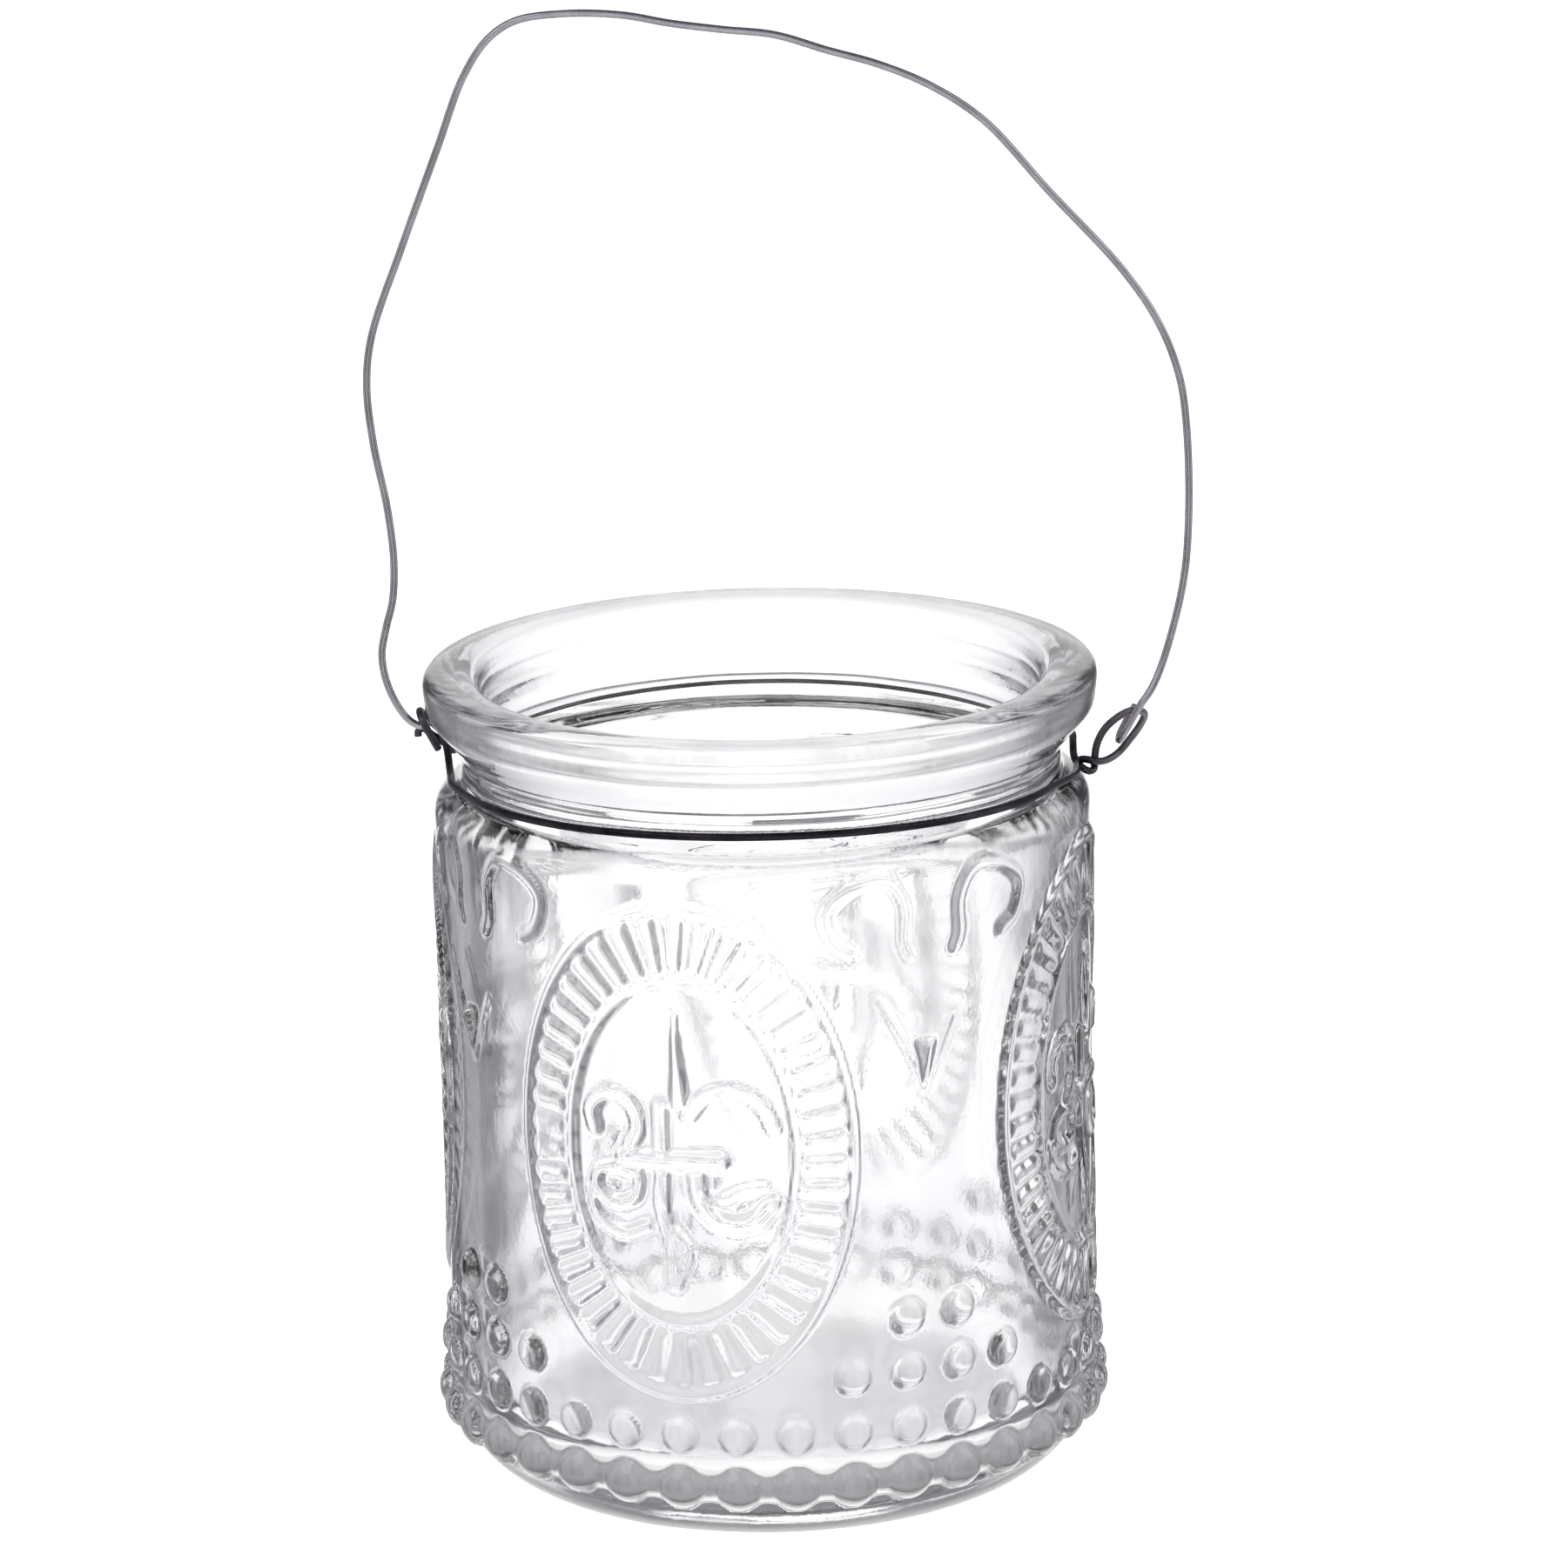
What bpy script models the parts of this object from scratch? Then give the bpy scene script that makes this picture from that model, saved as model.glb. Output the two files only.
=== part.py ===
"""Hanging glass jar lantern: a pressed glass jar, a wire round its neck and a wire bail.

Everything is in metres, +Z up. The origin is the centre of the jar's flat underside.
The two eyes of the neck wire lie on the X axis, so the bail swings about a line along X.
Three objects are made: glass_jar, neck_wire and wire_bail.
"""

import math

import bmesh
import bpy
from mathutils import Vector

MM = 0.001

# Jar, outside
JAR_HEIGHT = 93.0 * MM
RIM_RADIUS = 38.0 * MM
RIM_WALL_FOOT_RADIUS = 37.6 * MM
RIM_WALL_FOOT_DROP = 4.6 * MM
RIM_EDGE_ROUNDING = 1.3 * MM
RIM_FLAT_INNER_RADIUS = 34.5 * MM
NECK_RADIUS = 34.0 * MM
NECK_TOP_DROP = 8.8 * MM
BODY_RADIUS = 37.1 * MM
WAIST_RADIUS = 36.9 * MM
WAIST_HEIGHT = 42.0 * MM
SHOULDER_ROUNDING = 3.3 * MM
SHOULDER_TOP = 80.2 * MM
HEEL_HEIGHT = 9.5 * MM
FOOT_RADIUS = 28.0 * MM

# Jar, inside
MOUTH_EDGE_RADIUS = 31.8 * MM
MOUTH_EDGE_DROP = 1.1 * MM
THROAT_RADIUS = 31.6 * MM
THROAT_FOOT_DROP = 9.3 * MM
CAVITY_RADIUS = 34.3 * MM
CAVITY_TOP_DROP = 13.6 * MM
FLOOR_THICKNESS = 6.0 * MM
FLOOR_FILLET = 5.5 * MM

JAR_SEGMENTS = 64
ROUNDING_STEPS = 5

# Wire
WIRE_RADIUS = 0.43 * MM
WIRE_BEVEL_RESOLUTION = 2
SAMPLES_PER_SPAN = 24
MOST_TURN = math.radians(19.0)
LONGEST_RUN = 7.0 * MM

# Neck wire: a ring that dips a little at its two eyes
RING_RADIUS = 35.1 * MM
RING_HEIGHT = 81.9 * MM
RING_DIP = 0.5 * MM
FRONT_HALF = (-22.0, -158.0)
BACK_HALF = (159.0, 19.0)
RING_STEP = 8.0

# Bail hinge: one line along X through both eyes
HINGE_HEIGHT = 86.5 * MM

# The back half's end at the left eye, from its cut stub to the ring, x, y, z in mm
STUB_ROUTE = (
    (-38.75, 1.75, 84.7),
    (-38.75, 1.85, 85.3),
    (-38.25, 1.9, 85.7),
    (-37.55, 1.95, 85.15),
    (-36.5, 2.1, 84.3),
    (-35.6, 2.5, 83.5),
    (-35.15, 3.7, 82.6),
    (-34.6, 6.3, 82.0),
)

# The right eye: down from the back half, round the knot, out along the loop and back under it
EYE_ROUTE = (
    (35.35, 5.6, 82.6),
    (35.35, 2.6, 82.2),
    (35.3, 0.3, 81.5),
    (35.55, -1.3, 81.0),
    (36.2, -2.0, 80.45),
    (36.95, -2.0, 80.05),
    (37.5, -1.45, 80.2),
    (37.6, -0.85, 81.15),
    (37.95, -0.6, 83.0),
    (38.9, -0.3, 84.6),
    (40.3, 0.0, 85.75),
    (41.4, 0.0, 86.35),
    (42.1, 0.0, 86.5),
    (42.9, 0.1, 86.4),
    (43.35, 0.75, 85.85),
    (43.2, 1.4, 84.95),
    (42.6, 1.5, 83.9),
    (41.7, 1.2, 82.8),
    (40.4, 0.5, 81.5),
    (38.8, -1.0, 81.0),
    (37.5, -2.0, 81.2),
    (36.7, -1.5, 81.3),
    (36.0, -1.0, 81.15),
    (35.6, -2.0, 80.85),
    (35.4, -4.5, 80.95),
    (34.7, -8.5, 81.3),
)

# The left eye: up from the front half, over the curl and down to a cut tail
CURL_ROUTE = (
    (-34.5, -8.0, 81.6),
    (-34.95, -4.0, 81.7),
    (-35.2, -1.6, 82.3),
    (-35.4, -0.3, 83.4),
    (-35.7, 0.6, 84.5),
    (-36.15, 1.35, 85.35),
    (-36.8, 1.95, 85.95),
    (-37.6, 2.0, 86.7),
    (-38.15, 1.4, 87.6),
    (-38.4, 0.0, 88.15),
    (-38.1, -1.5, 87.6),
    (-37.6, -2.0, 86.7),
    (-37.0, -2.05, 85.5),
    (-36.3, -1.9, 84.1),
)

# The bail, from its bent end in the left eye over the hand-bent bow to its hook in the right eye
BAIL_ROUTE = (
    (-37.7, 1.05, 86.5),
    (-37.7, 0.45, 86.5),
    (-37.95, 0.08, 86.48),
    (-38.6, 0.0, 86.5),
    (-39.6, 0.0, 87.1),
    (-40.9, 0.0, 88.9),
    (-42.1, 0.0, 92.0),
    (-42.4, 0.0, 95.0),
    (-41.8, 0.0, 98.0),
    (-41.0, 0.0, 101.0),
    (-40.7, 0.0, 105.5),
    (-41.2, 0.0, 111.5),
    (-42.5, 0.0, 119.0),
    (-43.0, 0.0, 125.5),
    (-42.3, 0.0, 131.0),
    (-38.6, 0.0, 141.0),
    (-34.2, 0.0, 152.2),
    (-31.2, 0.0, 159.8),
    (-28.4, 0.0, 163.9),
    (-25.3, 0.0, 165.9),
    (-19.7, 0.0, 166.6),
    (-13.5, 0.0, 166.3),
    (-8.3, 0.0, 165.3),
    (-2.6, 0.0, 164.5),
    (3.1, 0.0, 163.8),
    (8.8, 0.0, 162.0),
    (14.5, 0.0, 160.3),
    (20.2, 0.0, 157.8),
    (25.9, 0.0, 153.9),
    (33.0, 0.0, 145.9),
    (41.1, 0.0, 136.9),
    (45.0, 0.0, 131.0),
    (47.3, 0.0, 125.0),
    (48.15, 0.0, 119.0),
    (48.35, 0.0, 108.5),
    (47.7, 0.0, 101.1),
    (45.4, -0.1, 92.1),
    (44.0, -0.95, 89.1),
    (42.9, -1.25, 87.6),
    (42.1, -1.25, 86.3),
    (41.2, -1.25, 84.7),
    (40.6, -0.85, 83.55),
    (40.4, 0.0, 83.1),
    (40.6, 0.85, 83.55),
    (41.2, 1.25, 84.7),
    (42.1, 1.25, 86.3),
    (42.4, 1.2, 86.8),
)


def clear_scene():
    for obj in list(bpy.data.objects):
        bpy.data.objects.remove(obj, do_unlink=True)


def material(name, colour, roughness, metallic=0.0, transmission=0.0):
    made = bpy.data.materials.new(name)
    made.use_nodes = True
    shader = made.node_tree.nodes["Principled BSDF"]
    shader.inputs["Base Color"].default_value = (*colour, 1.0)
    shader.inputs["Roughness"].default_value = roughness
    shader.inputs["Metallic"].default_value = metallic
    shader.inputs["Transmission Weight"].default_value = transmission
    made.diffuse_color = (*colour, 1.0)
    return made


def arc(centre, radii, start, end, steps=ROUNDING_STEPS):
    """Points (radius, height) on an elliptical arc; the angles are in degrees from outwards, turning up."""
    points = []
    for i in range(steps + 1):
        angle = math.radians(start + (end - start) * i / steps)
        across = centre[0] + radii[0] * math.cos(angle)
        points.append((across, centre[1] + radii[1] * math.sin(angle)))
    return points


def outer_profile():
    """From the centre of the underside up the outside to the rim's flat top."""
    heel = arc((FOOT_RADIUS, HEEL_HEIGHT), (BODY_RADIUS - FOOT_RADIUS, HEEL_HEIGHT), -90, 0)
    shoulder_centre = (BODY_RADIUS - SHOULDER_ROUNDING, SHOULDER_TOP - SHOULDER_ROUNDING)
    neck_meets = math.degrees(math.acos((NECK_RADIUS - shoulder_centre[0]) / SHOULDER_ROUNDING))
    shoulder = arc(shoulder_centre, (SHOULDER_ROUNDING, SHOULDER_ROUNDING), 0, neck_meets)
    rim_centre = (RIM_RADIUS - RIM_EDGE_ROUNDING, JAR_HEIGHT - RIM_EDGE_ROUNDING)
    rim_edge = arc(rim_centre, (RIM_EDGE_ROUNDING, RIM_EDGE_ROUNDING), 0, 90, 3)
    flange = [
        (NECK_RADIUS, JAR_HEIGHT - NECK_TOP_DROP),
        (RIM_WALL_FOOT_RADIUS - 0.3 * MM, JAR_HEIGHT - RIM_WALL_FOOT_DROP - 0.3 * MM),
        (RIM_WALL_FOOT_RADIUS, JAR_HEIGHT - RIM_WALL_FOOT_DROP + 0.3 * MM),
    ]
    return [(0.0, 0.0), *heel, (WAIST_RADIUS, WAIST_HEIGHT), *shoulder, *flange, *rim_edge]


def inner_profile():
    """From the rim's flat top down the inside to the centre of the floor."""
    mouth = [
        (RIM_FLAT_INNER_RADIUS, JAR_HEIGHT),
        (MOUTH_EDGE_RADIUS + 0.6 * MM, JAR_HEIGHT - 0.5 * MOUTH_EDGE_DROP),
        (MOUTH_EDGE_RADIUS, JAR_HEIGHT - MOUTH_EDGE_DROP),
    ]
    throat_foot = JAR_HEIGHT - THROAT_FOOT_DROP
    cavity_top = JAR_HEIGHT - CAVITY_TOP_DROP
    flare = arc((THROAT_RADIUS, cavity_top), (CAVITY_RADIUS - THROAT_RADIUS, throat_foot - cavity_top), 90, 0)
    fillet_centre = (CAVITY_RADIUS - FLOOR_FILLET, FLOOR_THICKNESS + FLOOR_FILLET)
    fillet = arc(fillet_centre, (FLOOR_FILLET, FLOOR_FILLET), 0, -90)
    return [*mouth, *flare, *fillet, (0.0, FLOOR_THICKNESS)]


def turned_object(name, profile, finish):
    """A closed body turned about Z. The profile starts and ends on the axis."""
    mesh = bmesh.new()
    rings = []
    for radius, height in profile:
        if radius == 0.0:
            rings.append([mesh.verts.new((0.0, 0.0, height))])
            continue
        ring = []
        for i in range(JAR_SEGMENTS):
            angle = math.tau * i / JAR_SEGMENTS
            ring.append(mesh.verts.new((radius * math.cos(angle), radius * math.sin(angle), height)))
        rings.append(ring)
    for low, high in zip(rings, rings[1:]):
        for i in range(JAR_SEGMENTS):
            j = (i + 1) % JAR_SEGMENTS
            if len(low) == 1:
                mesh.faces.new((low[0], high[j], high[i]))
            elif len(high) == 1:
                mesh.faces.new((low[i], low[j], high[0]))
            else:
                mesh.faces.new((low[i], low[j], high[j], high[i]))
    data = bpy.data.meshes.new(name)
    mesh.to_mesh(data)
    mesh.free()
    data.shade_smooth()
    data.set_sharp_from_angle(angle=math.radians(35.0))
    data.materials.append(finish)
    obj = bpy.data.objects.new(name, data)
    bpy.context.scene.collection.objects.link(obj)
    return obj


def span_point(before, start, end, after, share):
    """A point on the centripetal Catmull-Rom curve between start and end."""
    knots = [0.0]
    corners = (before, start, end, after)
    for a, b in zip(corners, corners[1:]):
        knots.append(knots[-1] + max((b - a).length, 1e-6) ** 0.5)
    at = knots[1] + (knots[2] - knots[1]) * share
    level = list(corners)
    for width in (1, 2, 3):
        level = [
            level[i].lerp(level[i + 1], (at - knots[low]) / (knots[high] - knots[low]))
            for i, (low, high) in enumerate(blend_knots(width))
        ]
    return level[0]


def blend_knots(width):
    """The knot pairs that each round of the Catmull-Rom pyramid blends between."""
    return {1: ((0, 1), (1, 2), (2, 3)), 2: ((0, 2), (1, 3)), 3: ((1, 2),)}[width]


def smooth_route(points):
    """The smooth curve through the points, kept only where it has turned or run far enough."""
    ends = [points[0] * 2 - points[1], *points, points[-1] * 2 - points[-2]]
    dense = []
    for i in range(len(points) - 1):
        for k in range(SAMPLES_PER_SPAN):
            dense.append(span_point(*ends[i : i + 4], k / SAMPLES_PER_SPAN))
    dense.append(points[-1])
    kept = [dense[0]]
    heading = (dense[1] - dense[0]).normalized()
    for here, following in zip(dense[1:], dense[2:]):
        onwards = (following - here).normalized()
        if onwards.angle(heading) > MOST_TURN or (here - kept[-1]).length > LONGEST_RUN:
            kept.append(here)
            heading = onwards
    if (dense[-1] - kept[-1]).length < WIRE_RADIUS:
        kept.pop()
    kept.append(dense[-1])
    return kept


def wire_object(name, points, finish):
    """A round wire along the points, with flat cut ends."""
    data = bpy.data.curves.new(name, "CURVE")
    data.dimensions = "3D"
    data.bevel_depth = WIRE_RADIUS
    data.bevel_resolution = WIRE_BEVEL_RESOLUTION
    data.use_fill_caps = True
    route = smooth_route(points)
    spline = data.splines.new("POLY")
    spline.points.add(len(route) - 1)
    for spline_point, place in zip(spline.points, route):
        spline_point.co = (*place, 1.0)
    spline.use_smooth = True
    data.materials.append(finish)
    obj = bpy.data.objects.new(name, data)
    bpy.context.scene.collection.objects.link(obj)
    return obj


def in_metres(route):
    return [Vector(point) * MM for point in route]


def ring_half(start, end):
    """Points round half of the neck ring, at angles in degrees from +X towards +Y."""
    count = round(abs(end - start) / RING_STEP)
    points = []
    for i in range(count + 1):
        angle = math.radians(start + (end - start) * i / count)
        height = RING_HEIGHT - RING_DIP * math.cos(2 * angle)
        points.append(Vector((RING_RADIUS * math.cos(angle), RING_RADIUS * math.sin(angle), height)))
    return points


def neck_wire_points():
    """One wire: stub, back half, right eye, front half, left curl."""
    back = ring_half(*BACK_HALF)
    front = ring_half(*FRONT_HALF)
    return [*in_metres(STUB_ROUTE), *back, *in_metres(EYE_ROUTE), *front, *in_metres(CURL_ROUTE)]


def wire_bail_points():
    """The bail's points, about its hinge line."""
    return [point - Vector((0.0, 0.0, HINGE_HEIGHT)) for point in in_metres(BAIL_ROUTE)]


def main():
    clear_scene()
    glass = material("clear_glass", (0.93, 0.95, 0.94), 0.03, transmission=1.0)
    annealed = material("annealed_wire", (0.10, 0.10, 0.105), 0.38, metallic=1.0)
    bright = material("bail_wire", (0.30, 0.29, 0.30), 0.32, metallic=1.0)
    turned_object("glass_jar", outer_profile() + inner_profile(), glass)
    wire_object("neck_wire", neck_wire_points(), annealed)
    bail = wire_object("wire_bail", wire_bail_points(), bright)
    bail.location = (0.0, 0.0, HINGE_HEIGHT)


main()
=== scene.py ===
"""Visual model of a hanging glass jar lantern: pressed relief jar, twisted neck wire and hand-bent bail."""

import math

import bpy
import numpy as np
from mathutils import Matrix, Vector


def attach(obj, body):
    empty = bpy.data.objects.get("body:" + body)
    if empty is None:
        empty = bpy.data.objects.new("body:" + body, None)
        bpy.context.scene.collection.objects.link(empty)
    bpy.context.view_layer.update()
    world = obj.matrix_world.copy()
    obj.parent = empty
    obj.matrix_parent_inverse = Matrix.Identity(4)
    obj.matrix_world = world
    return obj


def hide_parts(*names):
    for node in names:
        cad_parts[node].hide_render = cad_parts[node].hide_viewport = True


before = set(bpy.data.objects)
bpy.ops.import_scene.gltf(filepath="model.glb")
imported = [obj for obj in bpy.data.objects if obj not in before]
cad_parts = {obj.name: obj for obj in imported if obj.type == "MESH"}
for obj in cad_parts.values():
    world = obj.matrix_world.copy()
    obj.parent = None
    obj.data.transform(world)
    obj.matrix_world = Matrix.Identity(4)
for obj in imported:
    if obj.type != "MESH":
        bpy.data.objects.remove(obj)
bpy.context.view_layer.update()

MM = 0.001

# ---------------------------------------------------------------- jar shape, in mm
BODY_RADIUS = 37.1
HEEL_HEIGHT = 9.5
FOOT_RADIUS = 28.0
COLUMNS = 640
FINE_STEP = 0.38
THROAT_STEP = 0.3
COARSE_STEP = 0.75
INNER_STEP = 2.0
FLAT_STEP = 2.5
RELIEF_TOP = 79.0

MEDALLION_FIRST = -15.6
MEDALLION_TURN = 90.0
MEDALLION_REACH = 34.0
BETWEEN_REACH = 25.0
OVAL_OUTER = (19.5, 27.9)
OVAL_INNER = (13.1, 19.65)
OVAL_HEIGHT = 46.9
BORDER_HALF_WIDTH = 0.75
RIB_COUNT = 46
RIB_RISE = 0.45
LILY_SHARE = 0.72
BEAD_FIRST = 3.5
BEAD_TURN = 10.0
BEAD_RADIUS = 2.1
BEAD_RISE = 1.2
# Height of each row of beads, and how many degrees from the middle between two medallions it reaches
BEAD_ROWS = [(14.3, 180.0), (20.6, 18.0), (26.9, 8.0)]
RIDGE_HEIGHT = 8.0
OUTLINE_STEP = 0.05
CORNER_SOFTNESS = 0.32
OUTER_WAVE = 0.05
INNER_WAVE = 0.06


def elliptic_arc(centre, radii, start, end, steps=24):
    angles = np.radians(np.linspace(start, end, steps + 1))
    return [(centre[0] + radii[0] * math.cos(a), centre[1] + radii[1] * math.sin(a)) for a in angles]


def outer_outline():
    """(radius, height) from the centre of the underside up the outside to the rim's flat top."""
    heel = elliptic_arc((FOOT_RADIUS, HEEL_HEIGHT), (BODY_RADIUS - FOOT_RADIUS, HEEL_HEIGHT), -90, 0)
    shoulder = elliptic_arc((33.8, 76.9), (3.3, 3.3), 0, 84)
    flange = [(34.05, 80.6), (33.95, 81.6), (33.95, 84.2), (37.2, 88.0), (37.65, 88.6)]
    rim = elliptic_arc((36.7, 91.7), (1.3, 1.3), 0, 90)
    return [(0, 0), (12, 0), *heel, (36.9, 42.0), *shoulder, *flange, *rim]


def inner_outline():
    """(radius, height) from the rim's flat top down the inside to the centre of the floor."""
    mouth = [(34.6, 93.0), (33.4, 92.8), (32.4, 92.5), (31.9, 92.0), (31.8, 91.2), (31.7, 88.0), (31.6, 83.9)]
    flare = elliptic_arc((31.6, 79.4), (2.7, 4.3), 88, 0)
    fillet = elliptic_arc((24.8, 14.2), (9.5, 8.2), 0, -90)
    return [*mouth, *flare, *fillet, (12.0, 5.8), (0, 5.7)]


def resampled(outline, step_at):
    """The outline as evenly spread points, its corners rounded by about CORNER_SOFTNESS mm, with outward normals."""
    points = np.array(outline, float)
    length = np.r_[0, np.cumsum(np.hypot(*np.diff(points, axis=0).T))]
    dense_at = np.arange(0, length[-1], OUTLINE_STEP)
    dense = np.c_[np.interp(dense_at, length, points[:, 0]), np.interp(dense_at, length, points[:, 1])]
    reach = int(3 * CORNER_SOFTNESS / OUTLINE_STEP)
    weights = np.exp(-0.5 * (np.arange(-reach, reach + 1) * OUTLINE_STEP / CORNER_SOFTNESS) ** 2)
    weights /= weights.sum()
    ends = np.pad(dense, ((reach, reach), (0, 0)), mode="reflect", reflect_type="odd")
    dense = np.c_[[np.convolve(ends[:, k], weights, mode="valid") for k in (0, 1)]].T
    at = [0.0]
    while at[-1] < dense_at[-1]:
        height = np.interp(at[-1], dense_at, dense[:, 1])
        radius = np.interp(at[-1], dense_at, dense[:, 0])
        at.append(at[-1] + step_at(radius, height))
    at = np.array(at[:-1])
    at = at * (dense_at[-1] / at[-1])
    slope = np.gradient(dense, axis=0)
    slope /= np.maximum(np.hypot(slope[:, 0], slope[:, 1]), 1e-9)[:, None]

    def pick(column):
        return np.interp(at, dense_at, column)

    return np.c_[pick(dense[:, 0]), pick(dense[:, 1])], np.c_[pick(slope[:, 1]), -pick(slope[:, 0])]


# ---------------------------------------------------------------- relief, heights in mm
def dome(distance, radius, height):
    """A low, parabolic swelling."""
    return height * np.clip(1 - (distance / radius) ** 2, 0, None)


def cap(distance, radius, height):
    """A bead's section: half an ellipse, upright at its edge."""
    return height * np.clip(1 - (distance / radius) ** 2, 0, None) ** 0.5


def bar(distance, half_width, height):
    """A rounded bar's section: flat on top, with soft shoulders."""
    return height * np.clip(1 - np.abs(distance / half_width) ** 3, 0, None)


def path_distance(u, v, path):
    """Distance from each point to a polyline."""
    nearest = np.full(u.shape, 1e9)
    for (ax, ay), (bx, by) in zip(path, path[1:]):
        dx, dy = bx - ax, by - ay
        share = np.clip(((u - ax) * dx + (v - ay) * dy) / (dx * dx + dy * dy), 0, 1)
        nearest = np.minimum(nearest, np.hypot(u - ax - share * dx, v - ay - share * dy))
    return nearest


def curved(points, steps=6):
    """A smooth path through a few points (Catmull-Rom)."""
    p = [np.array(q, float) for q in points]
    p = [2 * p[0] - p[1], *p, 2 * p[-1] - p[-2]]
    path = []
    for a, b, c, d in zip(p, p[1:], p[2:], p[3:]):
        for t in np.arange(steps) / steps:
            bend, twist = 2 * a - 5 * b + 4 * c - d, 3 * b - a - 3 * c + d
            path.append(0.5 * (2 * b + (c - a) * t + bend * t**2 + twist * t**3))
    path.append(p[-2])
    return path


def oval_place(u, v):
    """How far round the medallion's band each point lies, as a share of the whole way."""
    a = (OVAL_OUTER[0] + OVAL_INNER[0]) / 2
    b = (OVAL_OUTER[1] + OVAL_INNER[1]) / 2
    t = np.arctan2(v / b, u / a)
    for _ in range(6):
        x, y = a * np.cos(t), b * np.sin(t)
        slope_x, slope_y = -a * np.sin(t), b * np.cos(t)
        off = (x - u) * slope_x + (y - v) * slope_y
        rate = slope_x**2 + slope_y**2 + (x - u) * -x + (y - v) * -y
        t = t - np.clip(off / np.where(np.abs(rate) < 1.0, 1.0, rate), -0.3, 0.3)
    ring = np.linspace(-math.pi, math.pi, 721)
    run = np.r_[0, np.cumsum(np.hypot(np.diff(a * np.cos(ring)), np.diff(b * np.sin(ring))))]
    return np.interp((t + math.pi) % math.tau - math.pi, ring, run / run[-1])


def medallion(u, v):
    """Two raised borders, ribs between them and a stylised lily inside. u and v are mm from its centre."""
    outer = np.hypot(u / OVAL_OUTER[0], v / OVAL_OUTER[1])
    inner = np.hypot(u / OVAL_INNER[0], v / OVAL_INNER[1])
    scale_out = np.hypot(u, v) / np.maximum(outer, 1e-6)
    scale_in = np.hypot(u, v) / np.maximum(inner, 1e-6)
    from_outer = (outer - 1) * scale_out
    from_inner = (inner - 1) * scale_in
    height = np.maximum(bar(from_outer, BORDER_HALF_WIDTH, 0.5), bar(from_inner, BORDER_HALF_WIDTH, 0.45))
    phase = (oval_place(u, v) * RIB_COUNT) % 1.0 * 2 - 1
    depth = np.minimum(-from_outer, from_inner)
    ends = np.clip((depth - BORDER_HALF_WIDTH) / 1.1, 0, 1)
    ends = np.sqrt(np.clip(1 - (1 - ends) ** 2, 0, 1))
    ribs = RIB_RISE * np.clip(1 - (np.abs(phase) / 0.82) ** 2.6, 0, None) * ends
    ribs = np.where((from_outer < 0) & (from_inner > 0), ribs, 0)
    height = np.maximum(height, ribs)
    lily = np.zeros(u.shape)
    for path, half_width, rise in LILY:
        lily = np.maximum(lily, bar(path_distance(u, v, path), half_width, LILY_SHARE * rise))
    spike = np.clip((17.2 - v) / 12.0, 0.05, 1.0) * 1.5
    spike = dome(np.abs(u - 0.3 + 0.05 * (v - 6)), spike, 0.8) * ((v > 5.2) & (v < 17.2))
    lily = np.maximum(lily, spike)
    return np.maximum(height, np.where(from_inner < -0.8, lily, 0))


# The lily's strokes round the medallion's centre: path, half width and height
LILY = [
    (curved([(-10.0, 2.2), (-10.3, 4.4), (-8.2, 6.3), (-5.6, 5.4), (-4.6, 2.8), (-5.6, 0.6)]), 1.15, 0.75),
    (curved([(1.2, 4.4), (3.4, 6.9), (6.4, 7.4), (9.2, 5.8), (10.6, 3.0)]), 1.15, 0.75),
    ([(-2.0, 5.4), (-2.0, -1.0)], 1.15, 0.7),
    ([(-6.3, -0.9), (4.6, -0.7)], 1.3, 0.85),
    (
        curved([
            (-4.6, -3.4), (-5.2, -5.4), (-7.6, -6.2), (-9.8, -4.9), (-9.6, -2.9), (-7.6, -2.1), (-4.8, -2.6),
        ]), 0.85, 0.65,
    ),
    (curved([(-10.8, -5.2), (-9.8, -8.0), (-6.6, -9.6), (-3.8, -8.6)]), 0.8, 0.55),
    (curved([(2.0, -2.4), (2.4, -5.2), (4.6, -7.6), (7.8, -7.7), (10.2, -5.4)]), 1.2, 0.75),
    (curved([(5.0, -5.0), (7.2, -3.9), (9.6, -3.6)]), 0.6, 0.45),
    (curved([(-1.9, -2.5), (-2.0, -6.5), (-0.8, -11.0), (-0.6, -15.0)]), 1.1, 0.65),
    (curved([(-0.6, -9.0), (0.9, -11.4), (-0.5, -15.2)]), 0.8, 0.5),
]

# The ornament between two medallions, as degrees from its middle and mm of height
ARCH = curved([
    (4.4, 68.4), (5.4, 70.2), (5.4, 74.0), (8.6, 77.0), (14.6, 76.6), (19.2, 74.2), (18.0, 70.7), (14.6, 69.2),
])
V_FOOT = (-0.8, 53.0)
V_ENDS = [(-9.8, 63.4), (4.6, 60.6)]


def between(turn, z):
    """Two arches, a V and a spike. turn is in degrees from the middle, z in mm."""
    u = np.radians(turn) * BODY_RADIUS
    degree = math.radians(1) * BODY_RADIUS
    height = np.zeros(turn.shape)
    arch = [(a * degree, b) for a, b in ARCH]
    for side, rise in ((1, 0.5), (-1, 0.2)):
        height = np.maximum(height, bar(path_distance(u * side, z, arch), 0.85, rise))
    for end in V_ENDS:
        limb = [(V_FOOT[0] * degree, V_FOOT[1]), (end[0] * degree, end[1])]
        height = np.maximum(height, bar(path_distance(u, z, limb), 0.55, 0.2))
    spike = np.minimum(np.clip((z - 52.2) / 5.5, 0, 1) * 1.45 - np.abs(u + 1.1), 2 * (58.8 - z))
    return np.maximum(height, spike)


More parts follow.
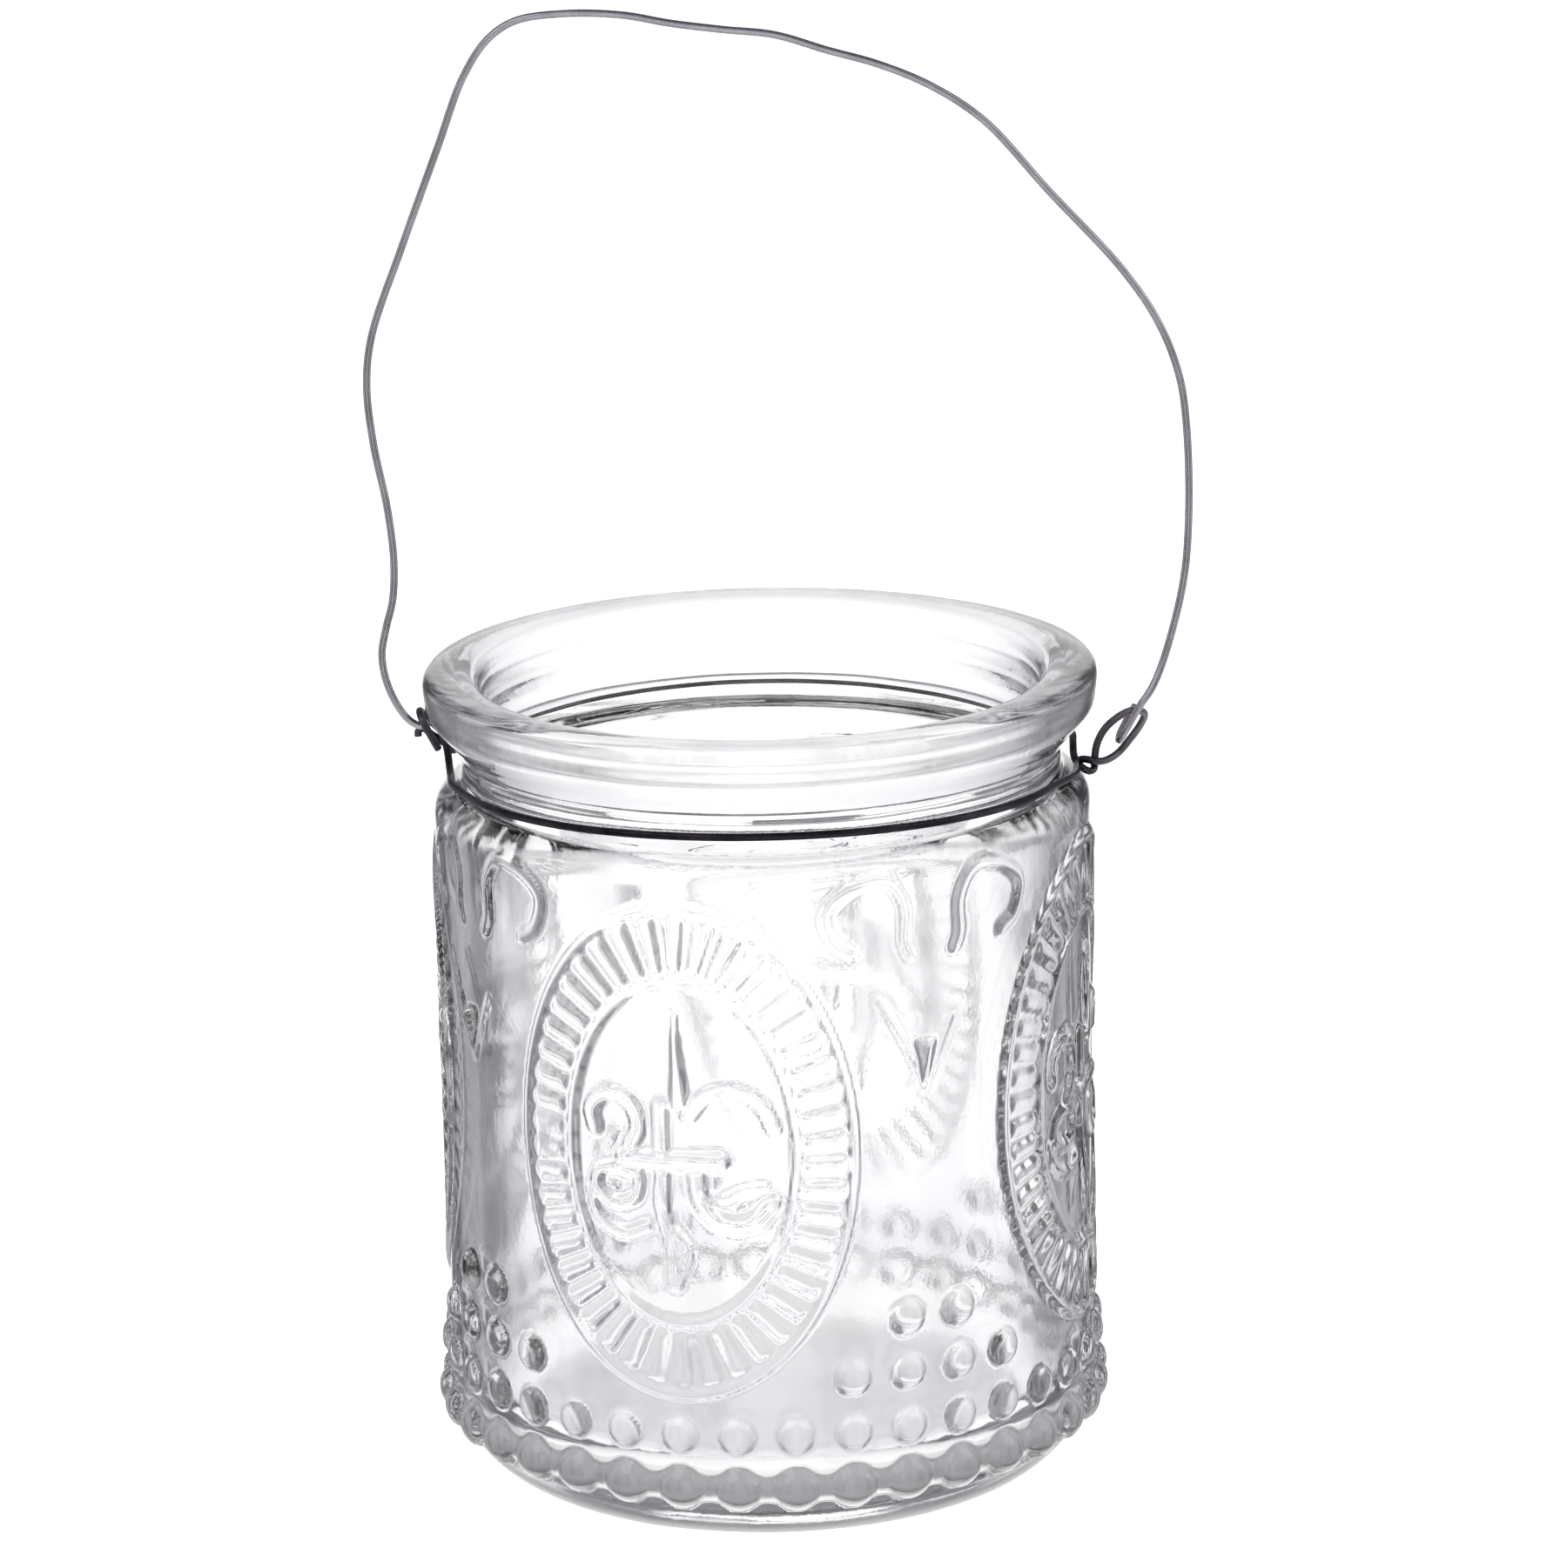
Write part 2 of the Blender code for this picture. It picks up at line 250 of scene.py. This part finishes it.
def beads(turn, z):
    """Rows of round beads, and the scalloped ridge on the heel."""
    column = (turn - BEAD_FIRST) / BEAD_TURN
    across = (column - np.round(column)) * math.radians(BEAD_TURN) * BODY_RADIUS
    centre = np.round(column) * BEAD_TURN + BEAD_FIRST
    off = (centre - MEDALLION_FIRST - MEDALLION_TURN / 2 + 45) % MEDALLION_TURN - 45
    height = np.zeros(turn.shape)
    for level, reach in BEAD_ROWS:
        bead = cap(np.hypot(across, z - level), BEAD_RADIUS, BEAD_RISE)
        height = np.maximum(height, np.where(np.abs(off) < reach, bead, 0))
    wave = np.cos(math.tau * column)
    ridge = bar(z - RIDGE_HEIGHT, 1.9 + 0.5 * wave, 0.6)
    heel = cap(np.hypot(across * 0.95, (z - RIDGE_HEIGHT - 0.1) * 0.85), 2.3, 1.15)
    return np.maximum(height, ridge + heel)


def relief(turn, z):
    """Height of the pressed pattern at a turn in degrees from the front, + to the viewer's right."""
    height = beads(turn, z)
    for k in range(4):
        off = (turn - MEDALLION_FIRST - k * MEDALLION_TURN + 180) % 360 - 180
        near = np.abs(off) < MEDALLION_REACH
        u = np.radians(off[near]) * BODY_RADIUS
        height[near] = np.maximum(height[near], medallion(u, z[near] - OVAL_HEIGHT))
        off = (turn - MEDALLION_FIRST - (k + 0.5) * MEDALLION_TURN + 180) % 360 - 180
        near = np.abs(off) < BETWEEN_REACH
        height[near] = np.maximum(height[near], between(off[near], z[near]))
    return height


def waviness(turn, height, seed, count=70):
    """Slow unevenness of pressed glass as a sum of seeded waves that close round the jar."""
    draw = np.random.default_rng(seed)
    total = np.zeros(np.broadcast(turn, height).shape)
    angle = np.radians(turn)
    for _ in range(count):
        around = draw.integers(2, 26)
        along = math.tau / draw.uniform(18.0, 90.0) * draw.choice((-1, 1))
        total += np.sin(around * angle + along * height + draw.uniform(0, math.tau)) / (1 + 0.12 * around)
    return total / math.sqrt(count)


# Fine raised rings inside the mouth: height up the jar, half width and rise
THROAT_RINGS = [(90.1, 0.42, 0.5), (87.3, 0.25, 0.08), (84.6, 0.3, 0.1)]


def jar_mesh():
    """One closed grid, turned from the outside's outline and the inside's, with relief along its normals."""

    def outer_step(radius, height):
        if radius <= 31:
            return FLAT_STEP
        return FINE_STEP if height < RELIEF_TOP else COARSE_STEP

    def inner_step(radius, height):
        if height > 83:
            return THROAT_STEP
        return COARSE_STEP if height > 76 or height < 16 and radius > 22 else INNER_STEP

    outside, outside_normal = resampled(outer_outline(), outer_step)
    inside, inside_normal = resampled(inner_outline(), inner_step)
    turn = np.arange(COLUMNS) * 360.0 / COLUMNS
    rows, normals = np.r_[outside[:-1], inside], np.r_[outside_normal[:-1], inside_normal]
    turns, heights = np.meshgrid(turn, rows[:, 1])
    radii = np.repeat(rows[:, :1], COLUMNS, 1)
    rise = np.zeros(turns.shape)
    count = len(outside) - 1
    on_wall = np.zeros(len(rows), bool)
    on_wall[:count] = (outside[:-1, 0] > 30) & (outside[:-1, 1] < RELIEF_TOP) & (outside[:-1, 1] > 3)
    rise[on_wall] = relief(turns[on_wall], heights[on_wall])
    fade = np.clip((rows[:, 0] - 20) / 10, 0, 1)[:, None]
    rise[:count] += OUTER_WAVE * (waviness(turns, heights, 5) * fade)[:count]
    rise[count:] += INNER_WAVE * (waviness(turns, heights, 8) * fade)[count:]
    for level, width, depth in THROAT_RINGS:
        rings = depth * np.exp(-(((rows[count:, 1] - level) / width) ** 2)) * (rows[count:, 0] > 31)
        rise[count:] += rings[:, None]
    spread = radii + rise * normals[:, :1]
    lift = heights + rise * normals[:, 1:]
    angle = np.radians(turns)
    places = np.stack([spread * np.sin(angle), -spread * np.cos(angle), lift], -1) * MM
    bottom, top = places[0].mean(0), places[-1].mean(0)
    grid = places[1:-1]
    vertices = np.r_[grid.reshape(-1, 3), [bottom, top]]
    row_count = len(grid)
    column = np.arange(COLUMNS)
    following = (column + 1) % COLUMNS
    low = (np.arange(row_count - 1) * COLUMNS)[:, None]
    high = low + COLUMNS
    quads = np.stack([low + column, low + following, high + following, high + column], -1).reshape(-1, 4)
    last = (row_count - 1) * COLUMNS
    under = np.stack([following, column, np.full(COLUMNS, len(vertices) - 2)], -1)
    over = np.stack([last + column, last + following, np.full(COLUMNS, len(vertices) - 1)], -1)
    mesh = bpy.data.meshes.new("pressed_jar")
    mesh.from_pydata(vertices.tolist(), [], [*quads.tolist(), *under.tolist(), *over.tolist()])
    mesh.shade_smooth()
    return mesh


# ---------------------------------------------------------------- wires, in mm
WIRE_RADIUS = 0.43
RING_RADIUS = 35.1
RING_HEIGHT = 81.9
RING_DIP = 0.5
STUB_ROUTE = (
    (-38.75, 1.75, 84.7), (-38.75, 1.85, 85.3), (-38.25, 1.9, 85.7), (-37.55, 1.95, 85.15),
    (-36.5, 2.1, 84.3), (-35.6, 2.5, 83.5), (-35.15, 3.7, 82.6), (-34.6, 6.3, 82.0),
)
EYE_ROUTE = (
    (35.35, 5.6, 82.6), (35.35, 2.6, 82.2), (35.3, 0.3, 81.5), (35.55, -1.3, 81.0), (36.2, -2.0, 80.45),
    (36.95, -2.0, 80.05), (37.5, -1.45, 80.2), (37.6, -0.85, 81.15), (37.95, -0.6, 83.0), (38.9, -0.3, 84.6),
    (40.3, 0.0, 85.75), (41.4, 0.0, 86.35), (42.1, 0.0, 86.5), (42.9, 0.1, 86.4), (43.35, 0.75, 85.85),
    (43.2, 1.4, 84.95), (42.6, 1.5, 83.9), (41.7, 1.2, 82.8), (40.4, 0.5, 81.5), (38.8, -1.0, 81.0),
    (37.5, -2.0, 81.2), (36.7, -1.5, 81.3), (36.0, -1.0, 81.15), (35.6, -2.0, 80.85), (35.4, -4.5, 80.95),
    (34.7, -8.5, 81.3),
)
CURL_ROUTE = (
    (-34.5, -8.0, 81.6), (-34.95, -4.0, 81.7), (-35.2, -1.6, 82.3), (-35.4, -0.3, 83.4), (-35.7, 0.6, 84.5),
    (-36.15, 1.35, 85.35), (-36.8, 1.95, 85.95), (-37.6, 2.0, 86.7), (-38.15, 1.4, 87.6), (-38.4, 0.0, 88.15),
    (-38.1, -1.5, 87.6), (-37.6, -2.0, 86.7), (-37.0, -2.05, 85.5), (-36.3, -1.9, 84.1),
)
BAIL_ROUTE = (
    (-37.7, 1.05, 86.5), (-37.7, 0.45, 86.5), (-37.95, 0.08, 86.48), (-38.6, 0.0, 86.5), (-39.6, 0.0, 87.1),
    (-40.9, 0.0, 88.9), (-42.1, 0.0, 92.0), (-42.4, 0.0, 95.0), (-41.8, 0.0, 98.0), (-41.0, 0.0, 101.0),
    (-40.7, 0.0, 105.5), (-41.2, 0.0, 111.5), (-42.5, 0.0, 119.0), (-43.0, 0.0, 125.5), (-42.3, 0.0, 131.0),
    (-38.6, 0.0, 141.0), (-34.2, 0.0, 152.2), (-31.2, 0.0, 159.8), (-28.4, 0.0, 163.9), (-25.3, 0.0, 165.9),
    (-19.7, 0.0, 166.6), (-13.5, 0.0, 166.3), (-8.3, 0.0, 165.3), (-2.6, 0.0, 164.5), (3.1, 0.0, 163.8),
    (8.8, 0.0, 162.0), (14.5, 0.0, 160.3), (20.2, 0.0, 157.8), (25.9, 0.0, 153.9), (33.0, 0.0, 145.9),
    (41.1, 0.0, 136.9), (45.0, 0.0, 131.0), (47.3, 0.0, 125.0), (48.15, 0.0, 119.0), (48.35, 0.0, 108.5),
    (47.7, 0.0, 101.1), (45.4, -0.1, 92.1), (44.0, -0.95, 89.1), (42.9, -1.25, 87.6), (42.1, -1.25, 86.3),
    (41.2, -1.25, 84.7), (40.6, -0.85, 83.55), (40.4, 0.0, 83.1), (40.6, 0.85, 83.55), (41.2, 1.25, 84.7),
    (42.1, 1.25, 86.3), (42.4, 1.2, 86.8),
)


def ring_half(start, end):
    """The neck ring from one angle to another, in degrees from +X, dipping a little at front and back."""
    count = round(abs(end - start) / 8.0)
    points = []
    for i in range(count + 1):
        angle = math.radians(start + (end - start) * i / count)
        height = RING_HEIGHT - RING_DIP * math.cos(2 * angle)
        points.append((RING_RADIUS * math.cos(angle), RING_RADIUS * math.sin(angle), height))
    return points


def span_points(corners, steps):
    """Points on the centripetal Catmull-Rom curve between the middle two corners."""
    a, b, c, d = corners
    k0 = 0.0
    k1 = k0 + max(np.linalg.norm(b - a), 1e-6) ** 0.5
    k2 = k1 + max(np.linalg.norm(c - b), 1e-6) ** 0.5
    k3 = k2 + max(np.linalg.norm(d - c), 1e-6) ** 0.5
    points = []
    for t in k1 + (k2 - k1) * np.arange(steps) / steps:
        ab = a + (b - a) * (t - k0) / (k1 - k0)
        bc = b + (c - b) * (t - k1) / (k2 - k1)
        cd = c + (d - c) * (t - k2) / (k3 - k2)
        abc = ab + (bc - ab) * (t - k0) / (k2 - k0)
        bcd = bc + (cd - bc) * (t - k1) / (k3 - k1)
        points.append(abc + (bcd - abc) * (t - k1) / (k2 - k1))
    return points


def dense_route(route, spacing=0.35):
    """The smooth curve through a route's points, in steps of about spacing mm."""
    p = [np.array(q, float) for q in route]
    p = [2 * p[0] - p[1], *p, 2 * p[-1] - p[-2]]
    dense = []
    for corners in zip(p, p[1:], p[2:], p[3:]):
        steps = max(3, round(float(np.linalg.norm(corners[2] - corners[1])) / spacing))
        dense += span_points(corners, steps)
    dense.append(p[-2])
    return np.array(dense)


def tube_mesh(name, route, radius, sides=20):
    """A round wire with slightly rounded cut ends, swept along the route without twist."""
    centres = dense_route(route)
    tangents = np.gradient(centres, axis=0)
    tangents /= np.linalg.norm(tangents, axis=1)[:, None]
    side = Vector(tangents[0]).orthogonal().normalized()
    rings = []
    before = Vector(tangents[0])
    for centre, tangent in zip(centres, tangents):
        heading = Vector(tangent)
        side = before.rotation_difference(heading) @ side
        before = heading
        rings.append((Vector(centre), side.copy(), heading.cross(side)))
    vertices = []
    chamfer = radius * 0.2
    still = Vector((0, 0, 0))
    first, last = rings[0], rings[-1]
    layout = [(first, radius - chamfer, still), (first, radius, Vector(tangents[0]) * chamfer)]
    layout += [(ring, radius, still) for ring in rings[1:-1]]
    layout += [(last, radius, Vector(tangents[-1]) * -chamfer), (last, radius - chamfer, still)]
    for (centre, across, up), reach, shift in layout:
        for k in range(sides):
            angle = math.tau * k / sides
            spoke = across * math.cos(angle) + up * math.sin(angle)
            vertices.append((centre + shift + spoke * reach) * MM)
    faces = []
    for i in range(len(layout) - 1):
        for k in range(sides):
            j = (k + 1) % sides
            faces.append((i * sides + k, i * sides + j, (i + 1) * sides + j, (i + 1) * sides + k))
    faces.append(tuple(reversed(range(sides))))
    faces.append(tuple(range((len(layout) - 1) * sides, len(layout) * sides)))
    mesh = bpy.data.meshes.new(name)
    mesh.from_pydata([tuple(v) for v in vertices], [], faces)
    mesh.shade_smooth()
    mesh.set_sharp_from_angle(angle=math.radians(40))
    return mesh


# ---------------------------------------------------------------- materials, in metres
# A Mix node's colour sockets share their names with its other kinds, so they go by number
MIX_SHARE, MIX_FIRST, MIX_SECOND, MIX_RESULT = 0, 6, 7, 2


class Tree:
    """A material's or world's nodes, added and joined in one call each."""

    def __init__(self, owner):
        owner.use_nodes = True
        self.nodes, self.links = owner.node_tree.nodes, owner.node_tree.links

    def feed(self, node, inputs):
        """Joins each input to the socket given for it, or sets it to the plain value."""
        for key, value in inputs.items():
            if isinstance(value, bpy.types.NodeSocket):
                self.links.new(value, node.inputs[key])
            else:
                node.inputs[key].default_value = value

    def node(self, kind, inputs=None, **settings):
        made = self.nodes.new(kind)
        for key, value in settings.items():
            setattr(made, key, value)
        self.feed(made, inputs or {})
        return made

    def math(self, operation, *values):
        return self.node("ShaderNodeMath", dict(enumerate(values)), operation=operation).outputs[0]

    def noise(self, place, scale, detail=2.0, distortion=0.0):
        inputs = {"Vector": place, "Scale": scale, "Detail": detail, "Distortion": distortion}
        return self.node("ShaderNodeTexNoise", inputs).outputs["Fac"]

    def scaled(self, place, scale):
        return self.node("ShaderNodeMapping", {"Vector": place, "Scale": scale}).outputs["Vector"]

    def spread(self, value, start, end, low=0.0, high=1.0, **settings):
        """The value taken from start..end to low..high, and held at the ends."""
        inputs = {"Value": value, "From Min": start, "From Max": end, "To Min": low, "To Max": high}
        return self.node("ShaderNodeMapRange", inputs, **settings).outputs["Result"]

    def mix(self, share, first, second, blend="MIX"):
        inputs = {MIX_SHARE: share, MIX_FIRST: first, MIX_SECOND: second}
        made = self.node("ShaderNodeMix", inputs, data_type="RGBA", blend_type=blend)
        return made.outputs[MIX_RESULT]

    def ramp(self, factor, stops):
        made = self.node("ShaderNodeValToRGB", {"Fac": factor})
        elements = made.color_ramp.elements
        while len(elements) < len(stops):
            elements.new(0.5)
        for element, (place, colour) in zip(elements, stops):
            element.position = place
            element.color = (*colour, 1.0)
        return made.outputs["Color"]

    def bump(self, height, strength, distance, under=None):
        inputs = {"Strength": strength, "Distance": distance, "Height": height}
        if under:
            inputs["Normal"] = under
        return self.node("ShaderNodeBump", inputs).outputs["Normal"]


# Painted shade: how far the glass's colour is darkened as its surface is seen more edge-on
GLASS_EDGE_SHADE = [
    (0.0, (0.99, 0.99, 0.992)), (0.22, (0.95, 0.948, 0.955)), (0.42, (0.74, 0.735, 0.755)),
    (0.62, (0.42, 0.41, 0.44)), (0.82, (0.20, 0.19, 0.22)), (1.0, (0.06, 0.055, 0.07)),
]
# Painted shade: the glass's colour by height over its lowest 30 mm, greyer in a band above the base
GLASS_BASE_SHADE = [
    (0.0, (0.985, 0.985, 0.99)), (0.32, (0.985, 0.985, 0.99)), (0.38, (0.93, 0.925, 0.945)),
    (0.55, (0.93, 0.925, 0.945)), (0.85, (1.0, 1.0, 1.0)),
]
STREAK_RADIUS = 0.037


def glass_material():
    """Clear pressed glass: satin round the rim, softer inside, ground underneath and slightly wavy all over, with
    painted shade darkening it where it is seen edge-on and in a band above the base.
    """
    material = bpy.data.materials.new("pressed_glass")
    tree = Tree(material)
    place = tree.node("ShaderNodeTexCoord").outputs["Object"]
    axes = tree.node("ShaderNodeSeparateXYZ", {0: place}).outputs
    height = axes["Z"]
    level = tree.node("ShaderNodeCombineXYZ", {0: axes["X"], 1: axes["Y"]}).outputs[0]
    radius = tree.node("ShaderNodeVectorMath", {0: level}, operation="LENGTH").outputs["Value"]
    run = tree.math("MULTIPLY", tree.math("ARCTAN2", axes["X"], axes["Y"]), STREAK_RADIUS)
    wall = tree.node("ShaderNodeCombineXYZ", {0: run, 1: radius, 2: height}).outputs[0]
    flow = tree.noise(tree.scaled(place, (1.0, 1.0, 0.35)), 150.0, detail=2.5, distortion=0.5)
    fine = tree.noise(place, 1500.0)
    streaks = tree.noise(tree.scaled(wall, (1.0, 0.06, 0.08)), 1100.0, detail=3.0)

    # Painted shade: the glass is darkened where its surface is seen edge-on, from about 10 mm up, standing in for the
    # dark outlines that refraction draws
    facing = tree.node("ShaderNodeLayerWeight", {"Blend": 0.35}).outputs["Facing"]
    edge = tree.ramp(tree.math("MULTIPLY", facing, tree.spread(height, 0.0098, 0.0125)), GLASS_EDGE_SHADE)
    # Painted shade: a slightly greyer band low on the body, greyest from about 11 to 17 mm up and gone by about 25 mm
    painted_base_shade = tree.ramp(tree.spread(height, 0.0, 0.03), GLASS_BASE_SHADE)
    # Both painted shades darken the glass's colour together
    painted_shade_tint = tree.mix(1.0, edge, painted_base_shade, blend="MULTIPLY")

    on_rim = tree.math("MULTIPLY", tree.spread(height, 0.0872, 0.0886), tree.spread(radius, 0.0330, 0.0350))
    on_rim_wall = tree.math("MULTIPLY", on_rim, tree.spread(height, 0.0928, 0.0918, 0.4, 1.0))
    body_height = tree.math("MULTIPLY", tree.spread(height, 0.0795, 0.0785), tree.spread(height, 0.0045, 0.0055))
    inside = tree.math("MULTIPLY", tree.spread(radius, 0.0356, 0.0350), body_height)
    rough = tree.math("MULTIPLY", on_rim_wall, tree.spread(streaks, 0.3, 0.7, 0.16, 0.24))
    rough = tree.math("ADD", rough, tree.math("MULTIPLY", inside, tree.spread(flow, 0.3, 0.7, 0.06, 0.13)))
    rough = tree.math("ADD", rough, tree.spread(flow, 0.3, 0.7, 0.0, 0.04))
    rough = tree.math("ADD", rough, tree.spread(height, 0.0009, 0.0004, 0.0, 0.6))

    normal = tree.bump(flow, 0.14, 0.0004)
    normal = tree.bump(fine, 0.08, 0.0001, under=normal)
    normal = tree.bump(tree.math("MULTIPLY", streaks, on_rim), 0.07, 0.0002, under=normal)
    finish = {"Base Color": painted_shade_tint, "Roughness": rough, "Normal": normal, "Transmission Weight": 1.0, "IOR": 1.5}
    tree.feed(tree.nodes["Principled BSDF"], finish)
    absorb = tree.node("ShaderNodeVolumeAbsorption", {"Color": (0.52, 0.56, 0.57, 1.0), "Density": 4.0})
    tree.feed(tree.nodes["Material Output"], {"Volume": absorb.outputs["Volume"]})
    return material


def wire_material(name, dark, light, roughness, eye_highlight=None):
    """Satin wire with a drawn grain; the last argument, if given, is a painted highlight: a lighter colour painted on
    round the eyes.
    """
    material = bpy.data.materials.new(name)
    tree = Tree(material)
    place = tree.node("ShaderNodeTexCoord").outputs["Object"]
    colour = tree.ramp(tree.noise(place, 240.0, detail=4.0), [(0.3, dark), (0.7, light)])
    if eye_highlight:
        # Painted highlight: the colour turns lighter towards the eyes, from 36.2 mm to 42 mm either side of the
        # middle
        across = tree.node("ShaderNodeSeparateXYZ", {0: place}).outputs["X"]
        highlight_share = tree.spread(tree.math("ABSOLUTE", across), 0.0362, 0.042)
        colour = tree.mix(highlight_share, colour, (*eye_highlight, 1.0))
    grain = tree.noise(place, 2600.0)
    rough = tree.spread(grain, 0.3, 0.7, roughness - 0.07, roughness + 0.1)
    finish = {"Base Color": colour, "Metallic": 1.0, "Roughness": rough, "Normal": tree.bump(grain, 0.07, 0.00002)}
    tree.feed(tree.nodes["Principled BSDF"], finish)
    return material


def floor_material():
    material = bpy.data.materials.new("pale_floor")
    tree = Tree(material)
    mottle = tree.noise(tree.node("ShaderNodeTexCoord").outputs["Object"], 6.0)
    colour = tree.ramp(mottle, [(0.3, (0.88, 0.88, 0.88)), (0.7, (0.9, 0.9, 0.9))])
    glow = {"Emission Color": (1.0, 1.0, 1.0, 1.0), "Emission Strength": 0.95}
    tree.feed(tree.nodes["Principled BSDF"], {"Base Color": colour, "Roughness": 0.8, **glow})
    return material


# ---------------------------------------------------------------- stage
LENS_MM = 144.2
TARGET = Vector((0.0, 0.0, 0.045))
DISTANCE = 0.720
ELEVATION = 17.76
ROLL = 1.2
TARGET_ACROSS = -0.00248
TARGET_DOWN = 0.04534
FLOOR_RADIUS = 6.0
FLOOR_GAP = 0.0003


def set_camera():
    """Looks down on the target at ELEVATION degrees and rolled by ROLL, with the target off the middle of the view by
    TARGET_ACROSS and TARGET_DOWN focal lengths."""
    elevation = math.radians(ELEVATION)
    forward = Vector((0.0, math.cos(elevation), -math.sin(elevation)))
    right = Vector((1.0, 0.0, 0.0))
    up = right.cross(forward)
    roll = math.radians(ROLL)
    rolled_right = right * math.cos(roll) - up * math.sin(roll)
    rolled_up = right * math.sin(roll) + up * math.cos(roll)
    basis = Matrix((rolled_right, rolled_up, -forward)).transposed()
    ray = Vector((TARGET_ACROSS, -TARGET_DOWN, -1.0)).normalized()
    aim = ray.rotation_difference(Vector((0.0, 0.0, -1.0)))
    data = bpy.data.cameras.new("camera")
    data.lens = LENS_MM
    data.sensor_width = 36.0
    data.clip_start = 0.01
    camera = bpy.data.objects.new("camera", data)
    camera.matrix_world = Matrix.Translation(TARGET - forward * DISTANCE) @ (basis @ aim.to_matrix()).to_4x4()
    bpy.context.scene.collection.objects.link(camera)
    bpy.context.scene.camera = camera


def soft_light(name, place, power, size=0.9, target=(0, 0, 0.06)):
    data = bpy.data.lights.new(name, "AREA")
    data.shape = "DISK"
    data.size = size
    data.energy = power
    light = bpy.data.objects.new(name, data)
    light.location = place
    light.rotation_euler = (Vector(target) - Vector(place)).to_track_quat("-Z", "Y").to_euler()
    bpy.context.scene.collection.objects.link(light)


# The studio round the object, as degrees folded every quarter turn
WORLD_PANELS = [
    (0, (1.24, 1.24, 1.25)), (14, (1.2, 1.2, 1.21)), (18, (0.2, 0.19, 0.215)), (31, (0.13, 0.125, 0.14)),
    (36, (0.7, 0.69, 0.72)), (53, (0.7, 0.69, 0.72)), (57, (0.10, 0.095, 0.11)), (72, (0.10, 0.095, 0.11)),
    (76, (1.2, 1.2, 1.21)), (90, (1.24, 1.24, 1.25)),
]
WORLD_CEILING = (0.19, 0.185, 0.205, 1.0)
WORLD_TABLE = (1.15, 1.15, 1.15, 1.0)


def set_world():
    """Bright all round with soft upright dark stripes, greyer overhead and white underneath."""
    world = bpy.data.worlds.new("studio")
    bpy.context.scene.world = world
    tree = Tree(world)
    axes = tree.node("ShaderNodeSeparateXYZ", {0: tree.node("ShaderNodeTexCoord").outputs["Generated"]}).outputs
    quarter = math.pi / 2
    folded = tree.math("PINGPONG", tree.math("ARCTAN2", axes["X"], axes["Y"]), quarter)
    stops = [(degrees / 90.0, colour) for degrees, colour in WORLD_PANELS]
    panels = tree.ramp(tree.math("DIVIDE", folded, quarter), stops)
    above = tree.spread(axes["Z"], 0.42, 0.64, interpolation_type="SMOOTHSTEP")
    below = tree.spread(axes["Z"], -0.36, -0.6, interpolation_type="SMOOTHSTEP")
    colour = tree.mix(below, tree.mix(above, panels, WORLD_CEILING), WORLD_TABLE)
    tree.feed(tree.nodes["Background"], {"Color": colour, "Strength": 1.0})


def set_stage():
    place = (0, 0, -FLOOR_GAP)
    bpy.ops.mesh.primitive_circle_add(vertices=96, radius=FLOOR_RADIUS, fill_type="NGON", location=place)
    floor = bpy.context.object
    floor.name = "floor"
    floor.data.materials.append(floor_material())
    # The glass and wires see the studio in its place
    floor.visible_transmission = False
    floor.visible_glossy = False
    soft_light("key", (-0.5, -0.5, 0.9), 3.0)
    soft_light("fill", (0.8, -0.2, 0.7), 2.0)
    set_world()
    scene = bpy.context.scene
    scene.view_settings.view_transform = "Standard"
    scene.cycles.max_bounces = 24
    scene.cycles.glossy_bounces = 5
    scene.cycles.transmission_bounces = 24


# ---------------------------------------------------------------- assembly
def add_piece(name, mesh, material, body, node):
    mesh.materials.append(material)
    piece = bpy.data.objects.new(name, mesh)
    bpy.context.scene.collection.objects.link(piece)
    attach(piece, body)
    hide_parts(node)


ANNEALED_DARK, ANNEALED_LIGHT = (0.012, 0.010, 0.014), (0.05, 0.045, 0.055)
# Painted highlight colour for the neck wire round its eyes
ANNEALED_EYE_HIGHLIGHT = (0.17, 0.16, 0.175)
DRAWN_DARK, DRAWN_LIGHT = (0.29, 0.275, 0.30), (0.42, 0.40, 0.435)

neck_route = [*STUB_ROUTE, *ring_half(159.0, 19.0), *EYE_ROUTE, *ring_half(-22.0, -158.0), *CURL_ROUTE]
neck_mesh = tube_mesh("twisted_neck_wire", neck_route, WIRE_RADIUS)
bail_mesh = tube_mesh("bent_bail", BAIL_ROUTE, WIRE_RADIUS)
annealed = wire_material("annealed_wire", ANNEALED_DARK, ANNEALED_LIGHT, 0.34, eye_highlight=ANNEALED_EYE_HIGHLIGHT)
drawn = wire_material("drawn_wire", DRAWN_DARK, DRAWN_LIGHT, 0.28)
add_piece("pressed_jar", jar_mesh(), glass_material(), "jar", "glass_jar")
add_piece("twisted_neck_wire", neck_mesh, annealed, "collar", "neck_wire")
add_piece("bent_bail", bail_mesh, drawn, "bail", "wire_bail")
set_stage()
set_camera()
